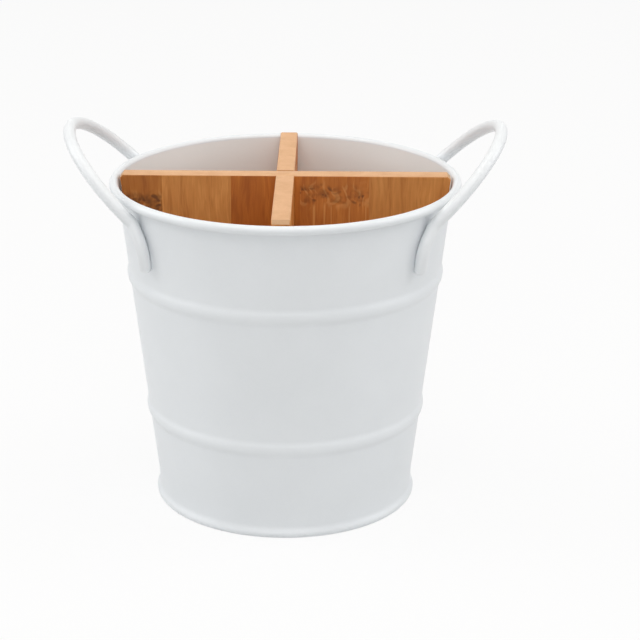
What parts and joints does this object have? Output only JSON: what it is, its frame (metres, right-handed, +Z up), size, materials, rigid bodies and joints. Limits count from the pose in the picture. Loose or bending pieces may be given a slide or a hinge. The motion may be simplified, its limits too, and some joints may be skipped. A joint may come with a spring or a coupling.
{
  "type": "cutlery organizer",
  "caption": "Tapered white steel pail with rolled rim, pressed beads and bent-wire handles; crossed bamboo slats lift out and part it into compartments for cutlery.",
  "frame": {"origin": "centre of the pail's foot, on the surface it stands on", "axes": "X runs from the left handle to the right handle, Y from the front to the back seam, Z up"},
  "size_m": [0.1438, 0.115, 0.1281],
  "materials": {
    "white_coating": "satin white powder coat",
    "bamboo": "sanded, clear-oiled caramel bamboo"
  },
  "bodies": {
    "pail": {"pail_wall": "white_coating", "pail_bottom": "white_coating", "left_handle": "white_coating", "right_handle": "white_coating"},
    "lower_slat": {"lower_slat_strip_1": "bamboo", "lower_slat_strip_2": "bamboo", "lower_slat_strip_3": "bamboo", "lower_slat_strip_4": "bamboo", "lower_slat_strip_5": "bamboo"},
    "upper_slat": {"upper_slat_strip_1": "bamboo", "upper_slat_strip_2": "bamboo", "upper_slat_strip_3": "bamboo", "upper_slat_strip_4": "bamboo", "upper_slat_strip_5": "bamboo"}
  },
  "joints": [
    {"name": "lower_slat_lift", "type": "slide", "parent": "pail", "child": "lower_slat", "axis": [0, 0, 1], "range_m": [0, 0.112]},
    {"name": "upper_slat_lift", "type": "slide", "parent": "lower_slat", "child": "upper_slat", "axis": [0, 0, 1], "range_m": [0, 0.112]}
  ]
}
